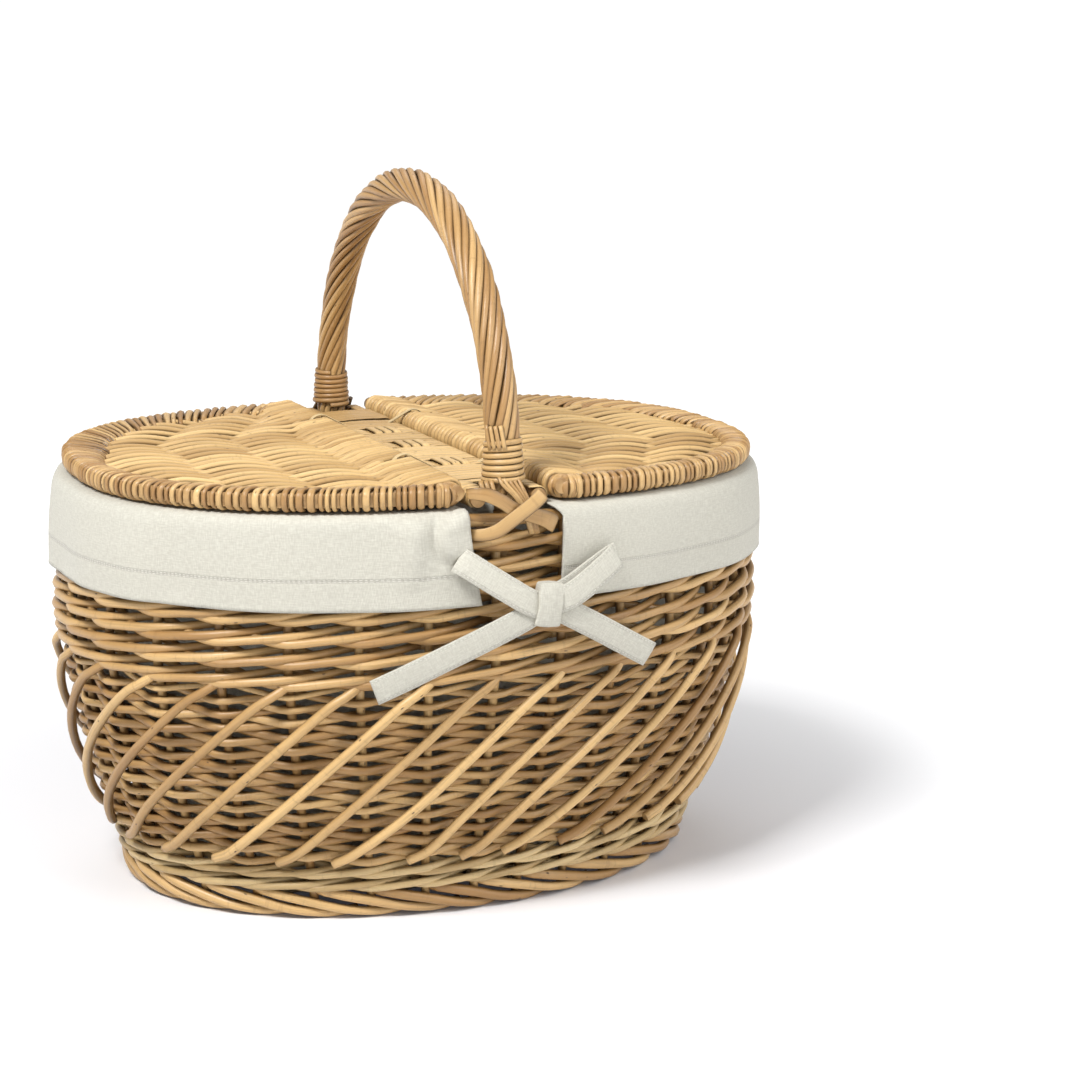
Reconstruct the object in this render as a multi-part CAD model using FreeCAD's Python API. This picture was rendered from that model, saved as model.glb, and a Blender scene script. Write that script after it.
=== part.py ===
import FreeCAD, Part
import math
import os

from FreeCAD import Vector

# Oval willow picnic basket with a fixed roped handle, two hinged half lids and a cotton liner.
# Millimetres, +Z up. The origin is on the ground under the middle of the basket, X runs along
# its length, and -Y is the side with the first bow. The basket is the same turned half round.

# Wall: half length and half width of the line of upright stakes at each height
WALL_STATIONS = (
    (0.0, 184.0, 123.0),
    (25.0, 187.5, 126.5),
    (60.0, 199.5, 136.5),
    (100.0, 209.5, 147.0),
    (140.0, 216.5, 156.0),
    (175.0, 221.0, 163.0),
    (205.0, 218.0, 162.3),
    (262.0, 214.0, 159.5),
)
FOOT_SQUARENESS = 2.06      # exponent of the oval at the ground
RIM_SQUARENESS = 2.35       # exponent of the oval at the rim
RIM_Z = 262.0
OVAL_POINTS = 48

# Levels of the woven bands
FOOT_TOP = 20.0
BOTTOM_WALE_TOP = 40.0
SIDE_WEAVE_TOP = 156.0
UPPER_WALE_TOP = 250.0
BORDER_TOP = 259.0

# Half thicknesses of the woven bands, measured from the line of the stakes
FOOT_OUT, FOOT_IN = 8.0, 9.0
BOTTOM_WALE_HALF = 8.0
SIDE_WEAVE_HALF = 6.5
UPPER_WALE_HALF = 9.5
BORDER_HALF = 8.0
SECTION_STEP = 20.0

# Stakes and the slanting rods laid over the side weave
STAKE_COUNT = 30
STAKE_RADIUS = 3.0
STAKE_SHIFT = -6.0          # along the wall from the middle of the front
STAKE_FOOT_Z, STAKE_TIP_Z = 4.0, 256.0
STAKE_SECTIONS = 9
SPACING_LEVEL = 157.0       # the stakes are evenly spaced at this height
SLANT_STAKES = 3.4          # stake spacings that a slanting rod passes on its way up
SLANT_FOOT_Z, SLANT_TIP_Z = 43.0, 152.0
SLANT_END_OFFSET, SLANT_BULGE = 10.4, 2.4
SLANT_RADIUS = 3.0
SLANT_SECTIONS = 7

# Base
BASE_Z0, BASE_Z1 = 9.0, 19.0
BASE_INSET = 9.3
LONG_STICKS, LONG_STICK_PITCH, LONG_STICK_RADIUS = 3, 26.0, 3.5
CROSS_STICKS, CROSS_STICK_PITCH, CROSS_STICK_RADIUS = 9, 36.0, 3.0
LONG_STICK_Z, CROSS_STICK_Z = 11.0, 17.5
STICK_END_GAP = 4.0

# Handle
HANDLE_RADIUS = 155.0       # of the arch's middle line, and half the distance between its feet
HANDLE_CENTRE_Z = 279.0
HANDLE_CORE_RADIUS = 5.0
HANDLE_ROPE_RADIUS = 11.0
HANDLE_LEG_END_Z = 168.0
HANDLE_ROPE_END_Z = 261.4
BINDING_TURNS, BINDING_SKEIN_RADIUS = 7, 1.7
BINDING_START_Z = 275.5
BINDING_CLEARANCE = 0.1
FAN_RODS, FAN_ROD_RADIUS, FAN_PITCH = 5, 2.0, 4.6
FAN_TOP_Z, FAN_END_Z = 258.6, 236.0
FAN_Y, FAN_LEAN = 173.6, 7.0

# Flat skeins crossed over the border at each foot of the handle
LASHING_WIDTH, LASHING_THICKNESS = 7.0, 1.2
LASHING_Y = 177.6
LASHING_HALF_SPAN, LASHING_LOW_Z, LASHING_HIGH_Z = 21.0, 238.0, 256.0

# Bridge between the lids
BRIDGE_ROD_X, BRIDGE_ROD_Z, BRIDGE_ROD_RADIUS = 19.0, 265.5, 4.5
BRIDGE_ROD_HALF_LENGTH = 164.0
BRIDGE_HALF_WIDTH = 12.3
BRIDGE_HALF_LENGTH = 140.0
BRIDGE_Z0, BRIDGE_Z1 = 260.5, 269.5

# Lids
LID_HALF_LENGTH, LID_HALF_WIDTH = 220.0, 170.0
LID_SQUARENESS = 2.4
LID_Z0, LID_Z1 = 262.6, 275.5
LID_RIM_WIDTH = 14.0
LID_WRAP_THICKNESS = 2.5
HINGE_X, HINGE_Z = 33.0, 270.5
HINGE_ROD_RADIUS, ROLL_RADIUS = 4.5, 8.0
ROLL_HALF_LENGTH = 166.0
LID_WEAVE_Z0, LID_WEAVE_Z1 = 265.0, 273.0
LID_WEAVE_GAP = 0.3
LID_STICKS, LID_FIRST_STICK_X, LID_STICK_PITCH = 3, 82.0, 46.5
LID_STICK_RADIUS = 2.0
STICK_BEND_Y, STICK_BEND_SLOPE = -45.0, 0.55    # past here a stick leans towards the hinge
STICK_END_SHARE = 0.93                          # of the way to the hoop, where it stops

# Hinge loops: bands that hold a lid's rolled edge to the bridge's side rod
LOOP_Y = 80.0
LOOP_WIDTH, LOOP_THICKNESS, LOOP_CLEARANCE = 4.0, 1.4, 0.4
LOOP_SLOT_WIDTH, LOOP_SLOT_DEPTH = 6.0, 3.4

# Cotton liner
LINER_INSET, LINER_THICKNESS = 15.0, 1.5
LINER_FLOOR_Z = 20.5
LINER_TOP_Z = 260.7
CUFF_HEM_Z = 207.0
CUFF_INNER, CUFF_OUTER = 9.8, 11.6
CUFF_FLANGE_Z0 = 259.3
CUFF_NEAR_END, CUFF_FAR_END = 24.5, 31.0    # where the two cuffs stop beside the handle's foot

# Bow of cotton tape
BOW_X, BOW_Y, BOW_Z = 17.0, 179.0, 205.0
TAPE_WIDTH, TAPE_THICKNESS = 16.0, 1.6
KNOT_SIZE = (17.0, 10.0, 26.0)
LOOP_TIPS = ((-32.0, 230.0, 176.0), (62.0, 226.0, 175.0))
TAIL_TIPS = ((-88.0, 160.0, 170.0), (85.0, 164.0, 170.5))
LOOP_GAP = 3.0

ORIGIN = Vector(0, 0, 0)
X_AXIS, Y_AXIS, Z_AXIS = Vector(1, 0, 0), Vector(0, 1, 0), Vector(0, 0, 1)
BIG = 600.0
CUTTER_MARGIN = 5.0


def save(name, solids):
    """Writes one node. Several solids become a compound of separate pieces."""
    solids = list(solids) if isinstance(solids, (list, tuple)) else [solids]
    shape = solids[0] if len(solids) == 1 else Part.makeCompound(solids)
    shape.exportStep(os.path.join("parts", name + ".step"))


def turned_half_round(shape):
    """The same shape at the other side of the basket."""
    copy = shape.copy()
    copy.rotate(ORIGIN, Z_AXIS, 180)
    return copy


def wall_half_sizes(z):
    """Half length and half width of the stake line at a height, on a smooth curve."""
    stations = WALL_STATIONS
    z = min(max(z, stations[0][0]), stations[-1][0])
    i = max(k for k in range(len(stations) - 1) if stations[k][0] <= z)
    z0, z1 = stations[i][0], stations[i + 1][0]
    s = (z - z0) / (z1 - z0)

    def slope(k, column):
        low, high = max(k - 1, 0), min(k + 1, len(stations) - 1)
        return (stations[high][column] - stations[low][column]) / (stations[high][0] - stations[low][0])

    sizes = []
    for column in (1, 2):
        p0, p1 = stations[i][column], stations[i + 1][column]
        m0, m1 = slope(i, column) * (z1 - z0), slope(i + 1, column) * (z1 - z0)
        sizes.append(
            (2 * s**3 - 3 * s**2 + 1) * p0 + (s**3 - 2 * s**2 + s) * m0
            + (3 * s**2 - 2 * s**3) * p1 + (s**3 - s**2) * m1
        )
    return sizes


def squareness(z):
    return FOOT_SQUARENESS + (RIM_SQUARENESS - FOOT_SQUARENESS) * min(z / RIM_Z, 1.0)


def oval_point(half_length, half_width, exponent, angle, z):
    c, s = math.cos(angle), math.sin(angle)
    x = half_length * math.copysign(abs(c) ** (2 / exponent), c)
    y = half_width * math.copysign(abs(s) ** (2 / exponent), s)
    return Vector(x, y, z)


def wall_point(angle, z, offset=0.0):
    a, b = wall_half_sizes(z)
    return oval_point(a + offset, b + offset, squareness(z), angle, z)


def oval_wire(half_length, half_width, exponent, z):
    points = [
        oval_point(half_length, half_width, exponent, 2 * math.pi * k / OVAL_POINTS, z)
        for k in range(OVAL_POINTS)
    ]
    curve = Part.BSplineCurve()
    curve.interpolate(points, PeriodicFlag=True)
    return Part.Wire(curve.toShape())


def wall_solid(z0, z1, offset):
    """A solid that fills the basket between two heights, out to an offset from the stake line."""
    count = max(2, int(math.ceil((z1 - z0) / SECTION_STEP)) + 1)
    wires = []
    for k in range(count):
        z = z0 + (z1 - z0) * k / (count - 1)
        a, b = wall_half_sizes(z)
        wires.append(oval_wire(a + offset, b + offset, squareness(z), z))
    return Part.makeLoft(wires, True, False)


def wall_band(z0, z1, outward, inward):
    """A ring of wall between two heights, from one offset to another."""
    return wall_solid(z0, z1, outward).cut(wall_solid(z0, z1, -inward))


def oval_plate(half_length, half_width, exponent, z0, z1):
    face = Part.Face(oval_wire(half_length, half_width, exponent, z0))
    return face.extrude(Vector(0, 0, z1 - z0))


def box(low, high):
    return Part.makeBox(high[0] - low[0], high[1] - low[1], high[2] - low[2], Vector(*low))


def stake_angles():
    """Angles of the stakes, evenly spaced along the wall at the spacing level."""
    steps = 3600
    start = -math.pi / 2
    angles = [start + 2 * math.pi * k / steps for k in range(steps + 1)]
    points = [wall_point(angle, SPACING_LEVEL) for angle in angles]
    lengths = [0.0]
    for p, q in zip(points, points[1:]):
        lengths.append(lengths[-1] + p.distanceToPoint(q))
    total = lengths[-1]

    def angle_at(length):
        whole, rest = divmod(length, total)
        k = next(i for i, value in enumerate(lengths) if value >= rest)
        return angles[k] + 2 * math.pi * whole

    return lambda index: angle_at(STAKE_SHIFT + total * index / STAKE_COUNT)


def lofted_rod(points, outward, radius):
    """A round rod through points; outward is a direction that is never along the rod."""
    wires = []
    for k, point in enumerate(points):
        along = points[min(k + 1, len(points) - 1)] - points[max(k - 1, 0)]
        along.normalize()
        across = along.cross(outward)
        across.normalize()
        circle = Part.Circle(point, along, radius)
        circle.XAxis = across
        wires.append(Part.Wire(circle.toShape()))
    return Part.makeLoft(wires, True, True)


def cylinder(start, end, radius):
    along = end - start
    return Part.makeCylinder(radius, along.Length, start, along)


# ---------------------------------------------------------------- walls and base
def make_base():
    save("base_weave", wall_solid(BASE_Z0, BASE_Z1, -BASE_INSET))
    a, b = [size - BASE_INSET for size in wall_half_sizes(BASE_Z0)]
    sticks = []
    for k in range(LONG_STICKS):
        y = (k - (LONG_STICKS - 1) / 2) * LONG_STICK_PITCH
        reach = a * (1 - (abs(y) / b) ** FOOT_SQUARENESS) ** (1 / FOOT_SQUARENESS) - STICK_END_GAP
        sticks.append(cylinder(Vector(-reach, y, LONG_STICK_Z), Vector(reach, y, LONG_STICK_Z),
                               LONG_STICK_RADIUS))
    for k in range(CROSS_STICKS):
        x = (k - (CROSS_STICKS - 1) / 2) * CROSS_STICK_PITCH
        reach = b * (1 - (abs(x) / a) ** FOOT_SQUARENESS) ** (1 / FOOT_SQUARENESS) - STICK_END_GAP
        sticks.append(cylinder(Vector(x, -reach, CROSS_STICK_Z), Vector(x, reach, CROSS_STICK_Z),
                               CROSS_STICK_RADIUS))
    save("base_sticks", sticks)


def make_walls():
    save("foot_border", wall_band(0.0, FOOT_TOP, FOOT_OUT, FOOT_IN))
    save("bottom_wale", wall_band(FOOT_TOP, BOTTOM_WALE_TOP, BOTTOM_WALE_HALF, BOTTOM_WALE_HALF))
    save("side_weave", wall_band(BOTTOM_WALE_TOP, SIDE_WEAVE_TOP, SIDE_WEAVE_HALF, SIDE_WEAVE_HALF))
    save("upper_wale", wall_band(SIDE_WEAVE_TOP, UPPER_WALE_TOP, UPPER_WALE_HALF, UPPER_WALE_HALF))
    save("top_border", wall_band(UPPER_WALE_TOP, BORDER_TOP, BORDER_HALF, BORDER_HALF))


def make_stakes():
    angle_of = stake_angles()
    stakes, slants = [], []
    for index in range(STAKE_COUNT):
        angle = angle_of(index)
        outward = Vector(math.cos(angle), math.sin(angle), 0)
        points = [
            wall_point(angle, STAKE_FOOT_Z + (STAKE_TIP_Z - STAKE_FOOT_Z) * k / (STAKE_SECTIONS - 1))
            for k in range(STAKE_SECTIONS)
        ]
        stakes.append(lofted_rod(points, outward, STAKE_RADIUS))

        points = []
        for k in range(SLANT_SECTIONS):
            part = k / (SLANT_SECTIONS - 1)
            z = SLANT_FOOT_Z + (SLANT_TIP_Z - SLANT_FOOT_Z) * part
            offset = SLANT_END_OFFSET + SLANT_BULGE * math.sin(math.pi * part)
            points.append(wall_point(angle_of(index - SLANT_STAKES * (1 - part)), z, offset))
        slants.append(lofted_rod(points, outward, SLANT_RADIUS))
    save("stakes", stakes)
    save("slanting_rods", slants)


# ---------------------------------------------------------------- handle
def arch(radius, leg_end_z):
    """A round bar that follows the handle's arch and runs straight down to a height."""
    centre = Vector(0, 0, HANDLE_CENTRE_Z)
    foot = Vector(0, HANDLE_RADIUS, HANDLE_CENTRE_Z)
    disc = Part.Face(Part.Wire(Part.makeCircle(radius, foot, Z_AXIS)))
    bow = disc.revolve(centre, X_AXIS, 180)
    for y in (-HANDLE_RADIUS, HANDLE_RADIUS):
        leg = cylinder(Vector(0, y, leg_end_z), Vector(0, y, HANDLE_CENTRE_Z), radius)
        bow = bow.fuse(leg)
    return bow.removeSplitter()


def make_handle():
    save("handle_core", arch(HANDLE_CORE_RADIUS, HANDLE_LEG_END_Z))
    hollow = arch(HANDLE_CORE_RADIUS, HANDLE_LEG_END_Z)
    save("handle_rope", arch(HANDLE_ROPE_RADIUS, HANDLE_ROPE_END_Z).cut(hollow))

    ring_radius = HANDLE_ROPE_RADIUS + BINDING_CLEARANCE + BINDING_SKEIN_RADIUS
    pitch = 2 * BINDING_SKEIN_RADIUS
    turns = []
    for k in range(BINDING_TURNS):
        z = BINDING_START_Z + pitch * k
        lean = math.asin(max(z - HANDLE_CENTRE_Z, 0.0) / HANDLE_RADIUS)
        centre = Vector(0, -HANDLE_RADIUS * math.cos(lean), z)
        along = Vector(0, math.sin(lean), math.cos(lean))
        turns.append(Part.makeTorus(ring_radius, BINDING_SKEIN_RADIUS, centre, along))
    fan = []
    for k in range(FAN_RODS):
        x = (k - (FAN_RODS - 1) / 2) * FAN_PITCH
        fan.append(cylinder(Vector(x, -FAN_Y, FAN_TOP_Z), Vector(x + FAN_LEAN, -FAN_Y, FAN_END_Z),
                            FAN_ROD_RADIUS))
    straps = []
    for side in (-1, 1):
        reach = side * LASHING_HALF_SPAN
        y0 = -LASHING_Y - (LASHING_THICKNESS + BINDING_CLEARANCE) * (side > 0)
        outline = Part.makePolygon([
            Vector(-reach, y0, LASHING_LOW_Z), Vector(reach, y0, LASHING_HIGH_Z),
            Vector(reach, y0, LASHING_HIGH_Z + LASHING_WIDTH),
            Vector(-reach, y0, LASHING_LOW_Z + LASHING_WIDTH), Vector(-reach, y0, LASHING_LOW_Z),
        ])
        straps.append(Part.Face(outline).extrude(Vector(0, LASHING_THICKNESS, 0)))
    for name, shapes in (("handle_binding", turns), ("handle_foot", fan), ("handle_lashing", straps)):
        save(name + "_front", shapes)
        save(name + "_rear", [turned_half_round(shape) for shape in shapes])


# ---------------------------------------------------------------- bridge and lids
def belt_face(centre_1, radius_1, centre_2, radius_2, y):
    """The face inside a belt that runs round two circles in a plane square to Y."""
    line = centre_2 - centre_1
    heading = math.atan2(line.z, line.x)
    spread = math.acos((radius_1 - radius_2) / line.Length)

    def at(centre, radius, angle):
        return Vector(centre.x + radius * math.cos(angle), y, centre.z + radius * math.sin(angle))

    top, bottom = heading + spread, heading - spread
    edges = [
        Part.makeLine(at(centre_1, radius_1, top), at(centre_2, radius_2, top)),
        Part.Arc(at(centre_2, radius_2, top), at(centre_2, radius_2, heading),
                 at(centre_2, radius_2, bottom)).toShape(),
        Part.makeLine(at(centre_2, radius_2, bottom), at(centre_1, radius_1, bottom)),
        Part.Arc(at(centre_1, radius_1, bottom), at(centre_1, radius_1, heading + math.pi),
                 at(centre_1, radius_1, top)).toShape(),
    ]
    return Part.Face(Part.Wire(edges))


def make_bridge():
    rods = [
        cylinder(Vector(x, -BRIDGE_ROD_HALF_LENGTH, BRIDGE_ROD_Z),
                 Vector(x, BRIDGE_ROD_HALF_LENGTH, BRIDGE_ROD_Z), BRIDGE_ROD_RADIUS)
        for x in (-BRIDGE_ROD_X, BRIDGE_ROD_X)
    ]
    save("bridge_side_rods", rods)
    save("bridge_weave", box((-BRIDGE_HALF_WIDTH, -BRIDGE_HALF_LENGTH, BRIDGE_Z0),
                             (BRIDGE_HALF_WIDTH, BRIDGE_HALF_LENGTH, BRIDGE_Z1)))

    rod_centre = Vector(BRIDGE_ROD_X, 0, BRIDGE_ROD_Z)
    roll_centre = Vector(HINGE_X, 0, HINGE_Z)
    for y, end, far_end in ((-LOOP_Y, "front", "rear"), (LOOP_Y, "rear", "front")):
        rings = []
        for extra in (LOOP_CLEARANCE + LOOP_THICKNESS, LOOP_CLEARANCE):
            face = belt_face(rod_centre, BRIDGE_ROD_RADIUS + extra, roll_centre, ROLL_RADIUS + extra,
                             y - LOOP_WIDTH / 2)
            rings.append(face.extrude(Vector(0, LOOP_WIDTH, 0)))
        loop = rings[0].cut(rings[1])
        save("right_hinge_loop_" + end, loop)
        save("left_hinge_loop_" + far_end, turned_half_round(loop))


def make_lid():
    """The right lid's pieces by name; the left lid is the same lid turned half round."""
    def outline(inset, z0, z1):
        return oval_plate(LID_HALF_LENGTH - inset, LID_HALF_WIDTH - inset, LID_SQUARENESS, z0, z1)

    beyond_hinge = box((HINGE_X, -BIG, 0), (BIG, BIG, BIG))
    roll_ends = (Vector(HINGE_X, -ROLL_HALF_LENGTH, HINGE_Z), Vector(HINGE_X, ROLL_HALF_LENGTH, HINGE_Z))
    past_roll = Vector(0, CUTTER_MARGIN, 0)
    room_for_roll = cylinder(roll_ends[0] - past_roll, roll_ends[1] + past_roll,
                             ROLL_RADIUS + LID_WEAVE_GAP)

    rim = outline(0, LID_Z0, LID_Z1).cut(outline(LID_RIM_WIDTH, LID_Z0, LID_Z1))
    t = LID_WRAP_THICKNESS
    hoop = outline(t, LID_Z0 + t, LID_Z1 - t).cut(outline(LID_RIM_WIDTH - t, LID_Z0 + t, LID_Z1 - t))
    pieces = {
        "hoop": hoop.common(beyond_hinge).cut(room_for_roll),
        "edge_wrap": rim.cut(hoop).common(beyond_hinge).cut(room_for_roll),
        "hinge_rod": cylinder(*roll_ends, HINGE_ROD_RADIUS),
        "roll_wrap": cylinder(*roll_ends, ROLL_RADIUS).cut(cylinder(*roll_ends, HINGE_ROD_RADIUS)),
    }

    weave_inset = LID_RIM_WIDTH + LID_WEAVE_GAP
    weave_x = HINGE_X + ROLL_RADIUS + LID_WEAVE_GAP
    weave = outline(weave_inset, LID_WEAVE_Z0, LID_WEAVE_Z1)
    weave = weave.common(box((weave_x, -BIG, 0), (BIG, BIG, BIG)))
    for y in (-LOOP_Y, LOOP_Y):
        weave = weave.cut(box((weave_x - CUTTER_MARGIN, y - LOOP_SLOT_WIDTH / 2, LID_Z0),
                              (weave_x + LOOP_SLOT_DEPTH, y + LOOP_SLOT_WIDTH / 2, LID_Z1)))
    pieces["weave"] = weave

    sticks = []
    stick_z = (LID_WEAVE_Z0 + LID_WEAVE_Z1) / 2
    a, b = LID_HALF_LENGTH - weave_inset, LID_HALF_WIDTH - weave_inset
    for k in range(LID_STICKS):
        x = LID_FIRST_STICK_X + LID_STICK_PITCH * k
        reach = b * (1 - (x / a) ** LID_SQUARENESS) ** (1 / LID_SQUARENESS) - STICK_END_GAP
        end_x, end_y = x, STICK_BEND_Y
        while (end_x > weave_x + STICK_END_GAP
               and (end_x / a) ** LID_SQUARENESS + (abs(end_y) / b) ** LID_SQUARENESS < STICK_END_SHARE):
            end_x, end_y = end_x - STICK_BEND_SLOPE, end_y - 1.0
        bend = Vector(x, STICK_BEND_Y, stick_z)
        straight = cylinder(bend, Vector(x, reach, stick_z), LID_STICK_RADIUS)
        leaning = cylinder(bend, Vector(end_x, end_y, stick_z), LID_STICK_RADIUS)
        knee = Part.makeSphere(LID_STICK_RADIUS, bend)
        sticks.append(straight.fuse([leaning, knee]))
    pieces["sticks"] = sticks
    return pieces


def make_lids():
    for name, shape in make_lid().items():
        shapes = shape if isinstance(shape, list) else [shape]
        save("right_lid_" + name, shapes)
        save("left_lid_" + name, [turned_half_round(piece) for piece in shapes])


# ---------------------------------------------------------------- liner and bows
def make_liner():
    bag = wall_solid(LINER_FLOOR_Z, LINER_TOP_Z, -LINER_INSET)
    inside = wall_solid(LINER_FLOOR_Z + LINER_THICKNESS, LINER_TOP_Z + CUTTER_MARGIN,
                        -LINER_INSET - LINER_THICKNESS)
    save("liner_bag", bag.cut(inside))

    band = wall_band(CUFF_HEM_Z, LINER_TOP_Z, CUFF_OUTER, -CUFF_INNER)
    flange = wall_band(CUFF_FLANGE_Z0, LINER_TOP_Z, CUFF_OUTER, LINER_INSET)
    cuff = band.fuse(flange).removeSplitter()
    # the left cuff: short of the handle's foot in front and, turned half round, behind
    beside_front = box((-BIG, -BIG, 0), (-CUFF_NEAR_END, 0, BIG))
    beside_rear = box((-BIG, 0, 0), (-CUFF_FAR_END, BIG, BIG))
    left = cuff.common(beside_front.fuse(beside_rear))
    save("cuff_left", left)
    save("cuff_right", turned_half_round(left))


def tape(start, end, width):
    """A flat tape between two points, facing out of the basket, its width square to its run."""
    run = end - start
    run.normalize()
    up = run.cross(Y_AXIS)
    up.normalize()
    half = up * (width / 2)
    thick = Vector(0, TAPE_THICKNESS, 0)
    wires = []
    for point in (start, end):
        corners = [point - half, point + half, point + half + thick, point - half + thick]
        wires.append(Part.makePolygon(corners + corners[:1]))
    return Part.makeLoft(wires, True, True)


def make_bow():
    knot_low = [BOW_X - KNOT_SIZE[0] / 2, -BOW_Y - KNOT_SIZE[1] / 2, BOW_Z - KNOT_SIZE[2] / 2]
    knot_high = [low + size for low, size in zip(knot_low, KNOT_SIZE)]
    knot = box(knot_low, knot_high)
    pieces = [knot]
    for x, z, y in LOOP_TIPS + TAIL_TIPS:
        side = math.copysign(1, x - BOW_X)
        start = Vector(BOW_X + side * KNOT_SIZE[0] / 2, -BOW_Y, BOW_Z)
        layer = Vector(0, -LOOP_GAP, 0) if (x, z, y) in LOOP_TIPS else Vector(0, LOOP_GAP / 2, 0)
        strip = tape(start + layer, Vector(x, -y, z) + layer, TAPE_WIDTH)
        pieces.append(strip.cut(knot))
    save("bow_front", pieces)
    save("bow_rear", [turned_half_round(piece) for piece in pieces])


make_base()
make_walls()
make_stakes()
make_handle()
make_bridge()
make_lids()
make_liner()
make_bow()
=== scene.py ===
import math

import bpy
import numpy as np
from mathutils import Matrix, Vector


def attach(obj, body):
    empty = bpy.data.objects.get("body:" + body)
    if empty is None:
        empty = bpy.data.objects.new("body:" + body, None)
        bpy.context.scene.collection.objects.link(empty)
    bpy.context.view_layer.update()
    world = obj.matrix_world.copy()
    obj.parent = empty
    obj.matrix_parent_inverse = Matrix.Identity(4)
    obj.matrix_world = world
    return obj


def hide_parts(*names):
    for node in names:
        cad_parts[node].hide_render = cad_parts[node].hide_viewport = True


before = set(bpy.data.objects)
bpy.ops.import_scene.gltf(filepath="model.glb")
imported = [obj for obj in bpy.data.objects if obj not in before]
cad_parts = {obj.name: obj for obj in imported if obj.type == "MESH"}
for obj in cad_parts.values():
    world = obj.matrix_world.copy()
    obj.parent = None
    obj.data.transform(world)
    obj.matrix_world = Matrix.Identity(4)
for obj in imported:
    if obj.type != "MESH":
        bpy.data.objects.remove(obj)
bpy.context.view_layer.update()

# ------------------------------------------------------------------ camera, light and ground
# A long lens a little above the rim and to the left of the front, soft light from the upper
# left, and a pale ground that catches the shadow on the right and glows, a painted light that fades the
# shadow further out.
scene = bpy.context.scene
scene.view_settings.view_transform = "Standard"


def aim(thing, azimuth, elevation, distance, target):
    """Puts a camera or light at a distance from a target and turns it to look there."""
    a, e = math.radians(azimuth), math.radians(elevation)
    back = np.array([math.sin(a) * math.cos(e), -math.cos(a) * math.cos(e), math.sin(e)])
    thing.location = np.array(target) + back * distance
    thing.rotation_euler = Vector(-back).to_track_quat("-Z", "Y").to_euler()


bpy.ops.object.camera_add()
camera = bpy.context.object
camera.name = "camera"
camera.data.lens = 73.4
camera.data.shift_x = 0.1218
camera.data.shift_y = 0.0786
aim(camera, azimuth=-20.63, elevation=14.57, distance=1.446, target=(0, 0, 0.15))
scene.camera = camera

LAMP_DISTANCE = 2.2
for light_name, size, power, azimuth, elevation in (
    ("key_light", 0.6, 52, -56, 52),
    ("fill_light", 1.6, 24, 40, 34),
    ("back_light", 1.4, 10, 165, 52),
):
    bpy.ops.object.light_add(type="AREA")
    lamp = bpy.context.object
    lamp.name = light_name
    lamp.data.size = size
    lamp.data.energy = power
    aim(lamp, azimuth, elevation, LAMP_DISTANCE, (0, 0, 0.15))

scene.world = bpy.data.worlds.new("studio")
scene.world.use_nodes = True
surroundings = scene.world.node_tree.nodes["Background"]
surroundings.inputs["Color"].default_value = (1, 1, 1, 1)
surroundings.inputs["Strength"].default_value = 0.2

sweep_radius, sweep_top = 9.0, 7.0
bpy.ops.object.select_all(action="DESELECT")
bpy.ops.mesh.primitive_circle_add(vertices=96, radius=sweep_radius, fill_type="NOTHING",
                                  location=(0, 0, sweep_top))
bpy.ops.object.mode_set(mode="EDIT")
bpy.ops.mesh.select_all(action="SELECT")
for drop, next_radius in ((4.6, 8.6), (1.3, 8.0), (0.7, 7.2), (0.3, 6.2), (0.1, 5.2)):
    bpy.ops.mesh.extrude_region_move(TRANSFORM_OT_translate={"value": (0, 0, -drop)})
    bpy.ops.transform.resize(value=(next_radius / sweep_radius, next_radius / sweep_radius, 1),
                             center_override=(0, 0, 0))
    sweep_radius = next_radius
bpy.ops.mesh.edge_face_add()
bpy.ops.object.mode_set(mode="OBJECT")
backdrop = bpy.context.object
backdrop.name = "studio_sweep"
bpy.ops.object.transform_apply(location=True, rotation=True, scale=True)
bpy.ops.object.shade_smooth()


class Socket:
    """A shader socket that can be used in sums, so that node maths reads like arithmetic."""

    tree = None

    def __init__(self, link):
        self.link = link

    @classmethod
    def node(cls, kind, settings=None, **inputs):
        """Adds a node, sets its settings, then fills its sockets with values or links."""
        node = cls.tree.nodes.new(kind)
        for key, value in (settings or {}).items():
            setattr(node, key, value)
        for key, value in inputs.items():
            numbered = key[0] == "i" and key[1:].isdigit()
            socket = node.inputs[int(key[1:]) if numbered else key]
            if isinstance(value, Socket):
                cls.tree.links.new(value.link, socket)
            else:
                socket.default_value = value
        return node

    @classmethod
    def maths(cls, operation, a, b=0.0, c=0.0):
        node = cls.node("ShaderNodeMath", {"operation": operation}, i0=a, i1=b, i2=c)
        return cls(node.outputs[0])

    def __add__(self, other):
        return self.maths("ADD", self, other)

    def __sub__(self, other):
        return self.maths("SUBTRACT", self, other)

    def __rsub__(self, other):
        return self.maths("SUBTRACT", other, self)

    def __mul__(self, other):
        return self.maths("MULTIPLY", self, other)

    __radd__, __rmul__ = __add__, __mul__

    def between(self, low, high):
        """0 below low, 1 above high, smooth between."""
        node = self.node("ShaderNodeMapRange", {"interpolation_type": "SMOOTHSTEP"},
                         i0=self, i1=low, i2=high, i3=0.0, i4=1.0)
        return Socket(node.outputs[0])

    def into(self, socket):
        """Feeds one of the shader's own sockets."""
        self.tree.links.new(self.link, socket)


def new_finish(name):
    """An empty material and its shader; the node maths that follows is added to it."""
    material = bpy.data.materials.new(name)
    material.use_nodes = True
    Socket.tree = material.node_tree
    return material, material.node_tree.nodes["Principled BSDF"].inputs


def blend(share, a, b):
    """Mixes two colours; each is a socket or three numbers."""
    node = Socket.node("ShaderNodeMix", {"data_type": "RGBA"}, i0=share)
    for socket, value in ((node.inputs[6], a), (node.inputs[7], b)):
        if isinstance(value, Socket):
            Socket.tree.links.new(value.link, socket)
        else:
            socket.default_value = (*value, 1)
    return Socket(node.outputs[2])


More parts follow.
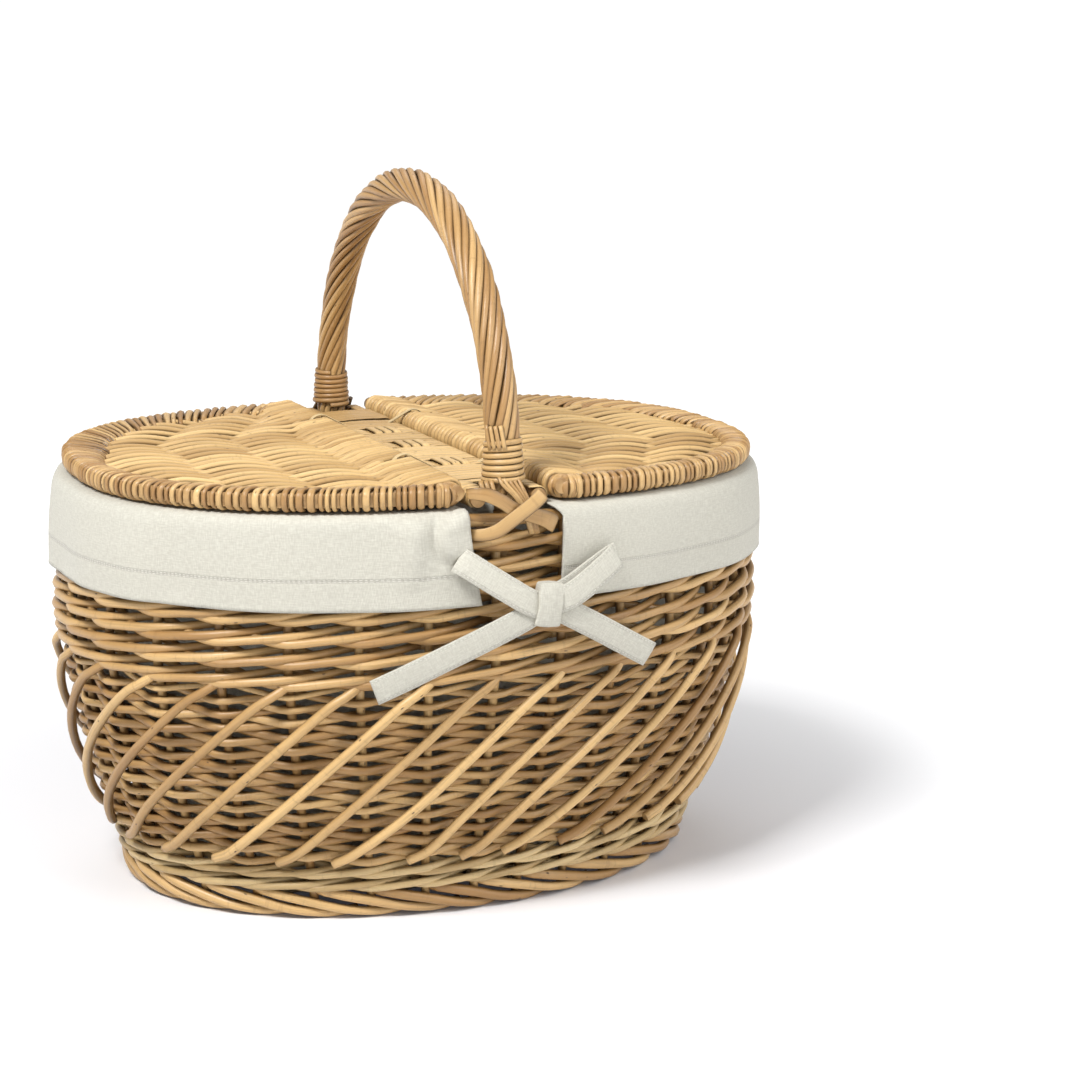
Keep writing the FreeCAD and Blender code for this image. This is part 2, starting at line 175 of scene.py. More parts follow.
glowing_sweep, sweep_shader = new_finish("glowing_sweep")
sweep_shader["Roughness"].default_value = 1.0
sweep_shader["Specular IOR Level"].default_value = 0.0
sweep_shader["Emission Strength"].default_value = 1.0
spot = Socket(Socket.node("ShaderNodeTexCoord").outputs["Object"])
reach = Socket(Socket.node("ShaderNodeVectorMath", {"operation": "LENGTH"}, i0=spot).outputs["Value"])
height = Socket(Socket.node("ShaderNodeSeparateXYZ", None, Vector=spot).outputs[2])
# Painted light: the sweep glows, dim beside the basket, where the floor catches the real shadow, and near
# white further out, so that the shadow fades and the backdrop reads white; high up its walls the glow is
# dim. Its own colour is pale near the basket and darker where it glows.
far = reach.between(0.16, 0.85)
blend(far, (0.80, 0.80, 0.815), (0.25, 0.25, 0.25)).into(sweep_shader["Base Color"])
glow = blend(far, (0.02, 0.02, 0.025), (0.95, 0.95, 0.95))
blend(height.between(1.2, 2.6), glow, (0.10, 0.10, 0.10)).into(sweep_shader["Emission Color"])
backdrop.data.materials.append(glowing_sweep)


# ------------------------------------------------------------------ foot border
# Thick buff willow rods bent out of the base, each laid over the ones before it and tucked
# under after three stakes, which makes the roped foot that the basket stands on.
MM = 0.001
draws = np.random.default_rng(7)

WALL_HEIGHTS = np.array([0.0, 25.0, 60.0, 100.0, 140.0, 175.0, 205.0, 262.0]) * MM
WALL_LENGTHS = np.array([184.0, 187.5, 199.5, 209.5, 216.5, 221.0, 218.0, 214.0]) * MM
WALL_WIDTHS = np.array([123.0, 126.5, 136.5, 147.0, 156.0, 163.0, 162.3, 159.5]) * MM
FOOT_SQUARENESS, RIM_SQUARENESS, RIM_HEIGHT = 2.06, 2.35, 0.262
STAKES = 30


def smooth_curve(x, xs, ys):
    """A smooth curve through stations, each slope taken from the stations beside it."""
    slopes = np.gradient(ys, xs)
    i = np.clip(np.searchsorted(xs, x) - 1, 0, len(xs) - 2)
    width = xs[i + 1] - xs[i]
    t = np.clip((x - xs[i]) / width, 0, 1)
    return (
        (2 * t**3 - 3 * t**2 + 1) * ys[i] + (t**3 - 2 * t**2 + t) * slopes[i] * width
        + (3 * t**2 - 2 * t**3) * ys[i + 1] + (t**3 - t**2) * slopes[i + 1] * width
    )


def oval(angle, half_length, half_width, exponent):
    c, s = np.cos(angle), np.sin(angle)
    x = half_length * np.sign(c) * np.abs(c) ** (2 / exponent)
    y = half_width * np.sign(s) * np.abs(s) ** (2 / exponent)
    return x, y


def wall(angle, z, out):
    """Points of the wall: out is how far they stand outside the line of the stakes."""
    angle, z, out = np.broadcast_arrays(angle, z, out)
    exponent = FOOT_SQUARENESS + (RIM_SQUARENESS - FOOT_SQUARENESS) * np.clip(z / RIM_HEIGHT, 0, 1)
    length = smooth_curve(z, WALL_HEIGHTS, WALL_LENGTHS) + out
    width = smooth_curve(z, WALL_HEIGHTS, WALL_WIDTHS) + out
    x, y = oval(angle, length, width, exponent)
    return np.stack([x, y, z], -1)


SPACING_HEIGHT, FIRST_STAKE = 0.157, -0.006
fine_angles = np.linspace(-math.pi / 2, 1.5 * math.pi, 3601)
fine_points = wall(fine_angles, SPACING_HEIGHT, 0.0)


def lengths_along(points):
    """How far along a line each of its points is."""
    return np.concatenate([[0], np.cumsum(np.linalg.norm(np.diff(points, axis=0), axis=1))])


fine_lengths = lengths_along(fine_points)


def stake_angle(place):
    """Angle of a place round the wall, counted in stakes from the middle of the front."""
    way_round = fine_lengths[-1]
    length = FIRST_STAKE + np.asarray(place, float) * way_round / STAKES
    turns = np.floor(length / way_round)
    return np.interp(length - turns * way_round, fine_lengths, fine_angles) + 2 * math.pi * turns


def outward(points):
    """Level directions that point out of the basket, for points that run round it."""
    run = np.gradient(points, axis=0)
    away = np.stack([run[:, 1], -run[:, 0], np.zeros(len(run))], -1)
    return away / np.maximum(np.linalg.norm(away, axis=1, keepdims=True), 1e-9)


ROUND = [(math.cos(t), math.sin(t)) for t in np.arange(8) * math.pi / 4]


def new_piece(name, points, faces, runs, smooth, material):
    """One piece at the origin, with a map of its runs in metres along and round or across it."""
    mesh = bpy.data.meshes.new(name)
    mesh.from_pydata(points.tolist(), [], faces)
    layer = mesh.uv_layers.new(name="run")
    layer.data.foreach_set("uv", np.array(runs, np.float32).ravel())
    mesh.polygons.foreach_set("use_smooth", smooth)
    mesh.materials.append(material)
    piece = bpy.data.objects.new(name, mesh)
    scene.collection.objects.link(piece)
    return piece


class Bundle:
    """Willow rods or skeins gathered into one piece, each with its own tint and running length."""

    def __init__(self):
        self.points, self.faces, self.runs, self.tints = [], [], [], []
        self.count = 0

    def lay(self, path, half_width, half_depth=None, up=None, section=ROUND, tint=None):
        """Lays one rod along a path. up is the way its face looks, at every point."""
        path = np.asarray(path, float)
        n, m = len(path), len(section)
        half_width = np.broadcast_to(half_width, n)
        half_depth = half_width if half_depth is None else np.broadcast_to(half_depth, n)
        run = np.gradient(path, axis=0)
        run /= np.maximum(np.linalg.norm(run, axis=1, keepdims=True), 1e-12)
        if up is None:
            up = np.array([0.0, 0.0, 1.0])
        up = np.broadcast_to(up, (n, 3))
        side = np.cross(run, up)
        side /= np.maximum(np.linalg.norm(side, axis=1, keepdims=True), 1e-12)
        face = np.cross(side, run)
        section = np.array(section)
        rings = (
            path[:, None, :]
            + side[:, None, :] * (half_width[:, None] * section[:, 0])[..., None]
            + face[:, None, :] * (half_depth[:, None] * section[:, 1])[..., None]
        )
        length = lengths_along(path) + draws.uniform(0, 3)
        start = self.count
        self.points.append(rings.reshape(-1, 3))
        for i in range(n - 1):
            for k in range(m):
                a, b = start + i * m + k, start + i * m + (k + 1) % m
                self.faces.append((a, b, b + m, a + m))
                v0, v1 = k / m, (k + 1) / m
                l0, l1 = length[i], length[i + 1]
                self.runs += [(l0, v0), (l0, v1), (l1, v1), (l1, v0)]
        for i, order in ((0, range(m - 1, -1, -1)), (n - 1, range(m))):
            self.faces.append(tuple(start + i * m + k for k in order))
            self.runs += [(length[i], 0.5)] * m
        tint = draws.uniform(0, 1) if tint is None else tint
        self.tints.extend([tint] * ((n - 1) * m + 2))
        self.count += n * m

    def make(self, name, material):
        """Turns the bundle into one smooth-shaded piece at the origin."""
        smooth = [len(face) == 4 for face in self.faces]
        piece = new_piece(name, np.concatenate(self.points), self.faces, self.runs, smooth, material)
        tints = piece.data.attributes.new("tint", "FLOAT", "FACE")
        tints.data.foreach_set("value", np.array(self.tints, np.float32))
        return piece


def run_map():
    """The two sockets of a piece's run map."""
    runs = Socket.node("ShaderNodeUVMap", {"uv_map": "run"})
    split = Socket.node("ShaderNodeSeparateXYZ", None, Vector=Socket(runs.outputs[0]))
    return Socket(split.outputs[0]), Socket(split.outputs[1])


def pattern(kind, x, y, z, **inputs):
    """A noise or cell pattern over three coordinates given as sockets or numbers."""
    place = Socket.node("ShaderNodeCombineXYZ", None, X=x, Y=y, Z=z)
    node = Socket.node(kind, None, Vector=Socket(place.outputs[0]), Scale=1.0, **inputs)
    return Socket(node.outputs["Distance" if kind == "ShaderNodeTexVoronoi" else 0])


def relief(height, strength, distance, shader):
    """Raises a height as bump on a shader."""
    bump = Socket.node("ShaderNodeBump", None, Height=height, Strength=strength, Distance=distance)
    Socket(bump.outputs[0]).into(shader["Normal"])


def willow(name, pale, deep, roughness, painted_shade_band=(-0.35, 0.75, 0.72)):
    """Peeled and buffed willow: each rod its own tone, with fibres, small knots and dull patches, and
    painted shade on the back of each rod.

    The last argument says where round a rod the painted shade on its back side begins and ends, and how dark
    it is.
    """
    material, shader = new_finish(name)
    along, around = run_map()
    tint = Socket(Socket.node("ShaderNodeAttribute", {"attribute_name": "tint"}).outputs["Fac"])

    fibres = pattern("ShaderNodeTexNoise", along * 26.0, around * 11.0, tint * 37.0, Detail=5.0)
    patches = pattern("ShaderNodeTexNoise", along * 11.0, around * 1.6, tint * 61.0, Detail=2.0)
    cells = pattern("ShaderNodeTexVoronoi", along * 58.0, around * 2.6, tint * 53.0)
    specks = 1.0 - cells.between(0.035, 0.085)
    rings = pattern("ShaderNodeTexNoise", along * 420.0, around * 1.5, tint * 11.0, Detail=2.0)
    tone = (tint * 0.62 + patches * 0.62 + fibres * 0.42 - 0.40).between(0.0, 1.0)
    colour = blend(tone, deep, pale)
    colour = blend(fibres.between(0.50, 0.74) * 0.42, colour, [c * 0.55 for c in deep])
    colour = blend(rings.between(0.58, 0.72) * 0.20, colour, [c * 0.6 for c in deep])
    colour = blend(specks * 0.85, colour, (0.07, 0.035, 0.015))
    (roughness + fibres * 0.22 + specks * 0.2).into(shader["Roughness"])
    # Painted shade: the back of each rod, turned away from its face, is darkened towards a quarter of its
    # deep tone, fading out round its sides.
    begins, ends, darkness = painted_shade_band
    painted_back_shade = 1.0 - Socket.maths("SINE", around * (2 * math.pi)).between(begins, ends)
    blend(painted_back_shade * darkness, colour, [c * 0.25 for c in deep]).into(shader["Base Color"])
    relief(fibres * 0.9 + specks * -0.6 + patches * 1.2 + rings * 0.25, 0.7, 0.0008, shader)
    shader["Coat Weight"].default_value = 0.18
    shader["Coat Roughness"].default_value = 0.30
    return material


buff_willow = willow("buff_willow", (0.70, 0.465, 0.20), (0.33, 0.175, 0.055), 0.34)
# Turns wound tight round a core get a wider, darker band of painted shade on their backs.
wound_willow = willow("wound_willow", (0.66, 0.435, 0.185), (0.34, 0.18, 0.06), 0.34,
                      painted_shade_band=(0.0, 0.9, 0.9))
cream_willow = willow("cream_willow", (0.72, 0.545, 0.28), (0.42, 0.28, 0.115), 0.38)


def border_rods(bundle, base, rise, rods_radius, ages, heights, outs):
    """Rods of a rolled border: each starts high by its stake and runs down to the right.

    Ages count the stakes that a rod has passed; heights are shares of the rise.
    """
    ages, heights, outs = np.array(ages), np.array(heights), np.array(outs)
    for stake in range(STAKES):
        age = np.linspace(0, ages[-1], 26)
        z = base + rise * smooth_curve(age, ages, heights) + draws.uniform(-0.4, 0.4) * MM
        out = (smooth_curve(age, ages, outs) + draws.uniform(-0.3, 0.3)) * MM
        path = wall(stake_angle(stake + draws.uniform(-0.08, 0.08) + age), z, out)
        radius = np.interp(age, [0, ages[-1]], rods_radius) * draws.uniform(0.93, 1.07)
        bundle.lay(path, radius, up=outward(path))


foot = Bundle()
border_rods(foot, base=3.6 * MM, rise=15.0 * MM, rods_radius=[3.5 * MM, 2.9 * MM],
            ages=[0, 0.12, 0.3, 1.0, 1.7, 2.2, 2.7], heights=[1.06, 1.0, 0.92, 0.52, 0.14, 0.0, 0.0],
            outs=[-4.0, 2.2, 4.2, 4.9, 4.4, 2.0, -4.0])
foot_border = foot.make("foot_border_rods", buff_willow)
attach(foot_border, "basket")
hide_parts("foot_border")


# ------------------------------------------------------------------ stakes
# Thirty stout willow rods pushed into the base and bent up, about 40 mm apart at the basket's
# widest. Every row of the wall is woven on them.
STAKE_FOOT, STAKE_TIP, STAKE_RADIUS = 6, 254, 2.9 * MM
uprights = Bundle()
for stake in range(STAKES):
    z = np.linspace(STAKE_FOOT, STAKE_TIP, 24) * MM
    path = wall(stake_angle(stake), z, 0.0)
    away = wall(stake_angle(stake), z, 0.01) - path
    uprights.lay(path, STAKE_RADIUS * draws.uniform(0.94, 1.06), up=away)
stakes = uprights.make("stake_rods", buff_willow)
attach(stakes, "basket")
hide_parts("stakes")


# ------------------------------------------------------------------ bottom and upper wale
# Three rods worked together: each passes in front of two stakes and behind the third, rising
# over the other two. The bottom wale is of finer, paler willow than the upper one.
STEPS = 8               # points of a rod from one stake to the next
WALE_OUT = np.array([6.1, 6.9, 6.2, 1.3, -5.2, 0.8])
WALE_RISE = np.array([0.34, 0.80, 1.26, 1.75, 2.15, 1.0])


def cycle(place, values):
    """A smooth curve that repeats: values are half a step apart."""
    n = len(values)
    i = np.floor(place * 2).astype(int)
    t = place * 2 - i
    p0, p1, p2, p3 = (values[(i + k) % n] for k in (-1, 0, 1, 2))
    return 0.5 * (2 * p1 + (p2 - p0) * t + (2 * p0 - 5 * p1 + 4 * p2 - p3) * t**2
                  + (3 * p1 - p0 - 3 * p2 + p3) * t**3)


def wale_rounds(bundle, bottom, rounds, rod_height, radius):
    """Rounds of three-rod wale; each of its three rods takes up the rod height."""
    for turn in range(rounds):
        for strand in range(3):
            first = strand + draws.integers(0, 3) * 3
            for start, length in ((first - 1, 9), (first + 8, 12), (first + 20, 9)):
                place = np.arange(-1, length * STEPS + 2) / STEPS + start
                phase = (place - strand) % 3
                z = bottom + (turn * 3 + cycle(phase, WALE_RISE)) * rod_height
                z = z + draws.uniform(-0.25, 0.25) * MM
                out = cycle(phase, WALE_OUT) * MM
                path = wall(stake_angle(place), z, out)
                taper = np.linspace(1.06, 0.92, len(place)) * draws.uniform(0.95, 1.05)
                bundle.lay(path, radius * taper, up=outward(path))


low = Bundle()
wale_rounds(low, bottom=20.0 * MM, rounds=2, rod_height=3.05 * MM, radius=2.4 * MM)
bottom_wale = low.make("bottom_wale_rods", cream_willow)
high = Bundle()
wale_rounds(high, bottom=158.3 * MM, rounds=7, rod_height=4.33 * MM, radius=2.8 * MM)
upper_wale = high.make("upper_wale_rods", buff_willow)
for piece, node in ((bottom_wale, "bottom_wale"), (upper_wale, "upper_wale")):
    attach(piece, "basket")
    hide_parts(node)


# ------------------------------------------------------------------ side weave
# Thin rods woven singly in front of one stake and behind the next, every row the other way
# about. The last few rows are finer and lie more loosely.
thin = Bundle()
ROWS, ROW_PITCH, FIRST_ROW = 26, 4.58 * MM, 40.0 * MM
LOOSE_ROWS, THIN_RADIUS, SWING = 6, 2.62 * MM, 4.3
for row in range(ROWS):
    loose = max(0.0, (row - (ROWS - LOOSE_ROWS)) / 5)
    first = 2 * draws.integers(0, 15) + row % 2 - 1
    for start, length in ((first, 14), (first + 14, 16)):
        place = np.arange(-2, length * STEPS + 3) / STEPS + start
        swing = np.cos(math.pi * (place - row)) + 0.13 * np.cos(3 * math.pi * (place - row))
        sway = np.sin(place * draws.uniform(0.5, 1.1) + draws.uniform(0, 6)) * 0.4 * MM
        kink = 1.0 + draws.uniform(-0.2, 0.3)
        z = FIRST_ROW + row * ROW_PITCH + sway - (1.05 + 0.9 * loose) * kink * swing * MM
        taper = np.linspace(1.1, 0.9, len(place)) * draws.uniform(0.93, 1.07) * (1 - 0.22 * loose)
        path = wall(stake_angle(place), z, (SWING * swing + 0.2) * MM)
        thin.lay(path, THIN_RADIUS * taper, up=outward(path))
side_weave = thin.make("side_weave_rods", buff_willow)
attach(side_weave, "basket")
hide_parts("side_weave")


# ------------------------------------------------------------------ slanting rods
# One thicker rod per stake, cut blunt at the bottom wale and carried up to the right over the
# weave, then bent over and tucked in beside a stake under the upper wale.
def through(points, count):
    """A smooth line through a few points, evenly stepped between each pair."""
    points = np.asarray(points, float)
    place = np.arange(len(points))
    fine = np.linspace(0, len(points) - 1, count)
    return np.stack([smooth_curve(fine, place, points[:, k]) for k in range(points.shape[1])], -1)


SLANT_RADIUS = 3.05 * MM
slants = Bundle()
for stake in range(STAKES):
    shift = draws.uniform(-0.12, 0.12)
    # stakes passed, height and distance outside the stakes, from the bottom up
    climb = through([(-3.45 + shift, 40, 8.6), (-3.05 + shift, 48.5, 10.4), (-2.3, 75, 12.4),
                     (-1.15, 119, 12.8), (-0.45, 146, 11.6), (-0.16, 154.5, 9.0), (0.05, 161, 4.0)], 32)
    bulge = 1 + draws.uniform(-0.05, 0.08)
    path = wall(stake_angle(stake + climb[:, 0]), climb[:, 1] * MM, climb[:, 2] * bulge * MM)
    taper = np.linspace(1.06, 0.9, len(climb)) * draws.uniform(0.94, 1.06)
    slants.lay(path, SLANT_RADIUS * taper, up=outward(path))
slanting_rods = slants.make("slanting_rods_laid", buff_willow)
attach(slanting_rods, "basket")
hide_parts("slanting_rods")


# ------------------------------------------------------------------ top border
# The tips of the stakes, bent down in turn and laid along the rim, each in front of three
# others. The cuffs of the liner hide all of it but what shows at the handle's feet.
rim = Bundle()
border_rods(rim, base=251.4 * MM, rise=4.2 * MM, rods_radius=[3.0 * MM, 2.4 * MM],
            ages=[0, 0.4, 1.0, 2.0, 3.0, 3.5], heights=[0.86, 0.86, 0.68, 0.33, 0.07, 0.1],
            outs=[-2.0, 3.6, 4.8, 4.2, 0.0, -4.5])
top_border = rim.make("top_border_rods", buff_willow)
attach(top_border, "basket")
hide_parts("top_border")


# ------------------------------------------------------------------ base
# Three long sticks crossed by nine short ones, bound into an oval with rounds of thin willow.
# The sticks are the frame's own; only the weaving between them is laid here.
HEXAGON = [(math.cos(t), math.sin(t)) for t in np.arange(6) * math.pi / 3]
FLOOR_ROUNDS, FLOOR_PITCH, FLOOR_ROD_RADIUS, FLOOR_LEVEL = 23, 4.75, 2.3 * MM, 14.0 * MM
BASE_LENGTH, BASE_WIDTH, FLOOR_INSET = 0.1855, 0.1245, 11.8
floor_rounds = Bundle()
for turn in range(FLOOR_ROUNDS):
    angle = np.linspace(0, 2 * math.pi, 121) + draws.uniform(0, 6)
    inset = (FLOOR_INSET + turn * FLOOR_PITCH) * MM
    wave = np.cos(angle * 15 + turn * math.pi) * FLOOR_ROD_RADIUS
    path = wall(angle, FLOOR_LEVEL + wave, 0.0)
    path[:, 0], path[:, 1] = oval(angle, BASE_LENGTH - inset, BASE_WIDTH - inset, FOOT_SQUARENESS)
    floor_rounds.lay(path, FLOOR_ROD_RADIUS, section=HEXAGON)
base_weave = floor_rounds.make("base_rounds", cream_willow)
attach(base_weave, "basket")
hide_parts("base_weave")


# ------------------------------------------------------------------ handle
# A thick bowed rod with twelve thin rods twisted round it from foot to foot. Their cut ends
# show just above the binding at the front foot.
HANDLE_RADIUS, HANDLE_SPRING = 0.155, 0.279
HALF_ROUND = math.pi * HANDLE_RADIUS
STRANDS, TWIST, STRAND_RADIUS, STRAND_TAIL = 12, 35.0, 2.35 * MM, 17 * MM


def beside_handle(s, angle, radius):
    """Points beside the handle's middle line: s runs from where its front leg begins to bend."""
    s, angle, radius = np.broadcast_arrays(s, angle, radius)
    bend = np.clip(s / HANDLE_RADIUS, 0, math.pi)
    leg = s - bend * HANDLE_RADIUS
    none = np.zeros_like(bend)
    across = np.array([1.0, 0, 0])
    run = np.stack([none, np.sin(bend), np.cos(bend)], -1)
    rise = HANDLE_SPRING + HANDLE_RADIUS * np.sin(bend)
    middle = np.stack([none, -HANDLE_RADIUS * np.cos(bend), rise], -1)
    side = np.cos(angle)[:, None] * across + np.sin(angle)[:, None] * np.cross(run, across)
    return middle + run * leg[:, None] + side * radius[:, None], side


rope = Bundle()
for strand in range(STRANDS):
    s = np.linspace(-STRAND_TAIL, HALF_ROUND + STRAND_TAIL, 112)
    fullness = 7.6 * MM + 0.75 * MM * np.sin(np.clip(s / HALF_ROUND, 0, 1) * math.pi)
    sway = 0.05 * np.sin(s * draws.uniform(25, 45) + draws.uniform(0, 6))
    angle = strand * 2 * math.pi / STRANDS + s * TWIST + sway
    path, side = beside_handle(s, angle, fullness + 0.25 * MM * np.sin(s * 60 + strand * 2.1))
    rope.lay(path, STRAND_RADIUS * draws.uniform(0.92, 1.06), up=side)
STUBS, STUB_RADIUS = 4, 1.45 * MM
for stub in range(STUBS):
    s = np.linspace(14, 27.5 + draws.uniform(-1, 1), 6) * MM
    path, side = beside_handle(s, math.radians(202 + stub * 15.5) - (s - 0.02) * 14, 11.0 * MM)
    rope.lay(path, STUB_RADIUS, up=side)
handle_rope = rope.make("handle_strands", wound_willow)
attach(handle_rope, "basket")
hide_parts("handle_rope")


# ------------------------------------------------------------------ handle bindings
# Thin willow wound in seven tight turns round the foot of each leg, to hold the strands' ends
# close to the bowed rod.
BINDING_TURNS, BINDING_PITCH, BINDING_START = 7, 3.4 * MM, -4.6 * MM
for half_turn, end in ((1, "front"), (-1, "rear")):
    spin = np.array([half_turn, half_turn, 1])
    t = np.linspace(0, 1, BINDING_TURNS * 26 + 1)
    angle = t * BINDING_TURNS * 2 * math.pi + 1.2
    radius = np.interp(t, [0, 0.1, 0.4, 1], [11.9, 11.7, 11.1, 10.3]) * MM
    radius = radius + 0.25 * MM * np.sin(angle * 1.37)
    path, side = beside_handle(BINDING_START + t * BINDING_TURNS * BINDING_PITCH, angle, radius)
    turns_of_rod = Bundle()
    turns_of_rod.lay(path * spin, 1.75 * MM, 1.25 * MM, up=side * spin)
    binding = turns_of_rod.make("binding_turns_" + end, wound_willow)
    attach(binding, "basket")
    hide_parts("handle_binding_" + end)


# ------------------------------------------------------------------ handle feet
# Below each binding the thin rods fan down over the border, and two flat skeins cross over
# them, one folded back under the other, to hold the foot to the rim.
SKEIN = [(1, 0.0), (0.9, 0.6), (0.45, 1), (0, 1.0), (-0.45, 1),
         (-0.9, 0.6), (-1, 0.0), (-0.9, -0.5), (0, -0.6), (0.9, -0.5)]
BORDER_LEVEL, SQUAT = 246, 0.28         # the rear straps lie this share nearer the border
FAN_RODS, FAN_ROD_RADIUS, END_ROD_RADIUS = 5, 1.25 * MM, 1.6 * MM
STRAP_THICKNESS = 0.45 * MM

for half_turn, end in ((1, "front"), (-1, "rear")):
    spin = np.array([half_turn, half_turn, 1])
    fan = Bundle()
    facing = np.array([0, -1, 0]) * spin
    for rod in range(FAN_RODS):
        x = -6.6 + rod * 2.75
        path = through([(x, -164.5, 278), (x + 1, -168.2, 274), (x + 7 - rod, -173.2, 267),
                        (x + 12 - 1.3 * rod, -175.6, 257), (x + 16 - 1.6 * rod, -174.6, 246)], 14)
        fan.lay(path * MM * spin, FAN_ROD_RADIUS, up=facing)
    for x, low in ((-17.5, 267), (-14.2, 266), (-11, 267.5)):
        path = through([(x, -163, 276), (x + 0.6, -166.5, 270), (x + 1.0, -167.0, low)], 6)
        fan.lay(path * MM * spin, END_ROD_RADIUS, up=facing)
    foot_fan = fan.make("foot_fan_" + end, wound_willow)

    straps = Bundle()
    squat = np.array([half_turn, half_turn, 1 if half_turn > 0 else 1 - SQUAT])
    lift = np.array([0, 0, 0 if half_turn > 0 else BORDER_LEVEL * SQUAT])
    share = np.linspace(0, 1, 30)
    under = through([(-29, -170.8, 271), (-25.5, -175.2, 271.6), (-19, -178.2, 271), (-10.4, -179, 266.8),
                     (-4, -178.6, 262.4), (3, -178.2, 259), (10, -178.4, 257), (17, -178.8, 254.8),
                     (23, -176.5, 251.2), (26, -172, 249)], 30)
    width = np.interp(share, [0, 0.25, 0.6, 0.85, 1], [3.0, 4.2, 4.2, 5.2, 4.6]) * MM
    straps.lay((under * squat + lift) * MM, width, STRAP_THICKNESS, up=np.array([0, -1, 0.12]) * spin,
               section=SKEIN, tint=0.35)
    over = through([(13.6, -181.5, 270.2), (11, -182.4, 267.8), (5.2, -182.2, 263.2), (-1, -180.9, 258.4),
                    (-7.2, -179.2, 253.4), (-12.4, -177.6, 249.6), (-18.5, -175, 247.4),
                    (-24.4, -171.0, 246.8), (-29, -165.5, 247.2)], 30)
    width = np.interp(share, [0, 0.6, 0.8, 1], [4.4, 4.3, 3.7, 3.0]) * MM
    straps.lay((over * squat + lift) * MM, width, STRAP_THICKNESS, up=np.array([0, -1, 0.1]) * spin,
               section=SKEIN, tint=0.6)
    lashing = straps.make("lashing_skeins_" + end, buff_willow)
    for piece, node in ((foot_fan, "handle_foot_"), (lashing, "handle_lashing_")):
        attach(piece, "basket")
        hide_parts(node + end)


# ------------------------------------------------------------------ bridge between the lids
# Flat skeins wound across two long rods in blocks, over three lengthwise strips; between blocks
# three turns go under the strips, so that these show as short lengths on top.
lid_willow = willow("lid_willow", (0.74, 0.51, 0.225), (0.44, 0.265, 0.095), 0.42)
bridge = Bundle()
SIDE_ROD_X, SIDE_ROD_Z = 19.0, 265.5
TURN_PITCH, TURN_HALF_WIDTH, TURN_HALF_THICKNESS = 6.45, 3.2 * MM, 0.55 * MM
LEG_Y = 136             # past here a turn stops beside the handle's leg
STRIP_PLACES, STRIP_HALF_WIDTH, STRIP_HALF_THICKNESS = (-6.6, -0.1, 6.4), 2.9 * MM, 0.6 * MM
# where a block starts, its number of turns, how pale it is, and whether it slips under the strips
BLOCKS = ((-160, 5, 0.9, False), (-126, 7, 0.85, False), (-79, 3, 0.6, True), (-58.5, 7, 0.95, False),
          (-12, 3, 0.5, True), (8.5, 5, 0.45, False), (42.5, 3, 0.75, True), (63, 5, 0.3, False),
          (97, 6, 0.05, False), (138, 4, 0.15, False))
for first_y, turns, block_tint, slips_under in BLOCKS:
    for turn in range(turns):
        y = first_y + turn * TURN_PITCH + draws.uniform(-0.15, 0.15)
        beside_leg = abs(y) > LEG_Y
        skew = draws.uniform(-0.5, 0.5) + (2.0 if y > 95 else -1.2)
        top = 5.1 + draws.uniform(0, 0.25) + (0.9 if 96 < y < LEG_Y else 0)
        around = np.radians([-60, -20, 20, 60, 90])
        left = [(-SIDE_ROD_X - top * math.cos(a), SIDE_ROD_Z + top * math.sin(a)) for a in around]
        right = [(-x, z) for x, z in reversed(left)]
        dip = -1.2 if slips_under else 0.4
        middle = [(x, SIDE_ROD_Z + top + dip * share) for x, share in ((-9, 0.7), (0, 1), (9, 0.7))]
        middle = [(-13, SIDE_ROD_Z + top)] + middle + [(13, SIDE_ROD_Z + top)]
        tint = block_tint + draws.uniform(-0.12, 0.12)
        for part in ([left + middle[:1], middle[-1:] + right] if beside_leg else [left + middle + right]):
            line = [(x, y + skew * x / 24, z) for x, z in part]
            path = through(line, 10 if beside_leg else 30) * MM
            outward_x = np.clip(np.abs(path[:, 0]) - SIDE_ROD_X * MM, 0, 1) * np.sign(path[:, 0])
            up = np.stack([outward_x * 900, np.zeros(len(path)), np.full(len(path), 1.0)], -1)
            up[path[:, 2] < (SIDE_ROD_Z + 1) * MM, 2] = 0.05
            bridge.lay(path, TURN_HALF_WIDTH, TURN_HALF_THICKNESS, up=up, section=SKEIN, tint=tint)
for x in STRIP_PLACES:
    y = np.linspace(-134, 134, 150)
    lift = sum(1 / (1 + np.exp(-(y - low + 5.5) / 0.9)) - 1 / (1 + np.exp(-(y - low - 18.0) / 0.9))
               for low in [block[0] for block in BLOCKS if block[3]])
    path = np.stack([x + 0.5 * np.sin(y * 0.04 + x), y, 268.4 + 3.6 * lift], -1) * MM
    bridge.lay(path, STRIP_HALF_WIDTH, STRIP_HALF_THICKNESS, section=SKEIN, tint=0.9 + 0.015 * x)
bridge_weave = bridge.make("bridge_skeins", lid_willow)
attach(bridge_weave, "basket")
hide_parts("bridge_weave")


# ------------------------------------------------------------------ lids
# Each half lid has a bent hoop, three sticks and a straight hinge rod. Rods start wound round
# the hinge rod and go over and under the sticks in turn, and the hoop's edge is wrapped.
LID_LENGTH, LID_WIDTH, LID_SQUARENESS = 220.0, 170.0, 2.4
HINGE_X, HINGE_Z = 33.0, 270.5
STICK_X, STICK_STEP, STICK_Z = 82.0, 46.5, 269.0
BEND_Y, BEND_SLOPE = -45.0, 0.55        # past here the sticks lean towards the hinge
ROWS_EACH_SIDE, TIE_ROW, TIE_Y = 25, 13, 80.0
ROD_STEP = TIE_Y / TIE_ROW
WEAVE_X, ROLL_TOP, ROLL_PATH_RADIUS = 46.5, 274.5, 5.9
ROLL_ROD_HALF_WIDTH, ROD_HALF_WIDTH, ROD_HALF_DEPTH = 2.5, 3.15, 2.15
HOOP_INSET, WRAP_HALF_DEPTH = 7.2, 1.75 * MM
